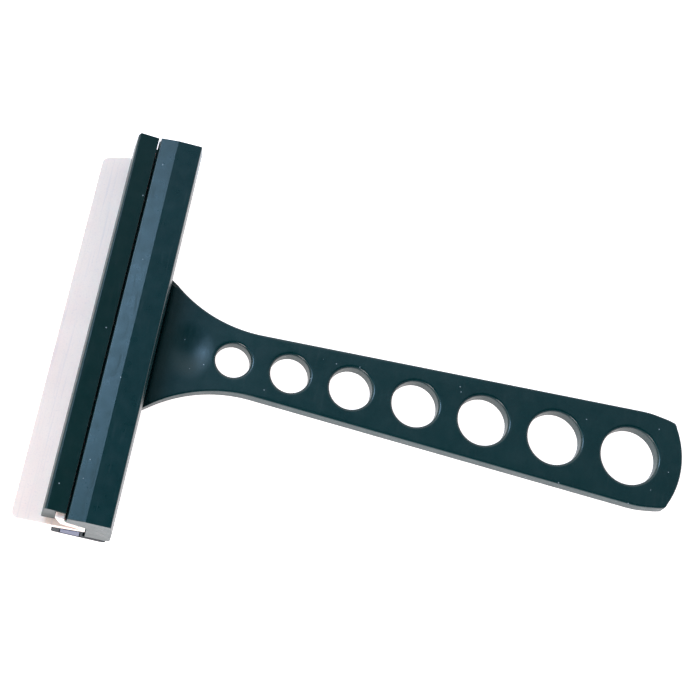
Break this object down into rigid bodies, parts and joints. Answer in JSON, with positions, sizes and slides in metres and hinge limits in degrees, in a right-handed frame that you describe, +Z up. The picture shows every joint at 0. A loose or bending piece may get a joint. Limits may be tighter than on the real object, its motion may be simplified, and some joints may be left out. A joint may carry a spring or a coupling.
{
  "type": "window cleaning squeegee",
  "caption": "Hand squeegee for windows: flat tapering handle with round finger holes, a dark moulded head, and a pale silicone blade held in a slot between a front strip and a lower clamp.",
  "frame": {"origin": "middle of the footprint, on the surface that the head rests on", "axes": "+X along the handle, from the blade to the hanging end; +Y along the head; +Z up out of the handle's upper face"},
  "size_m": [0.2548, 0.16, 0.0251],
  "materials": {
    "moulding": "satin dark petrol moulding, fine spark-eroded grain",
    "strip_moulding": "satin dark green-grey extrusion",
    "silicone": "milky translucent silicone, satin",
    "aluminium": "pale blue-grey anodised",
    "steel": "bright stainless",
    "brass": "plain turned brass"
  },
  "bodies": {
    "head": {"handle": "moulding", "head_body": "moulding", "lower_clamp": "moulding", "stiffener_bar": "aluminium", "clamp_screw_1": "steel", "clamp_insert_1": "brass", "clamp_screw_2": "steel", "clamp_insert_2": "brass", "clamp_screw_3": "steel", "clamp_insert_3": "brass", "clamp_screw_4": "steel", "clamp_insert_4": "brass", "handle_screw_1": "steel", "handle_screw_2": "steel", "handle_screw_3": "steel"},
    "strip": {"front_strip": "strip_moulding"},
    "blade": {"wiper_blade": "silicone"}
  },
  "joints": [
    {"name": "strip_slide", "type": "slide", "parent": "head", "child": "strip", "axis": [0, -1, 0], "range_m": [-0.14, 0.14]},
    {"name": "blade_slide", "type": "slide", "parent": "strip", "child": "blade", "axis": [0, -1, 0], "range_m": [-0.12, 0.12]}
  ]
}
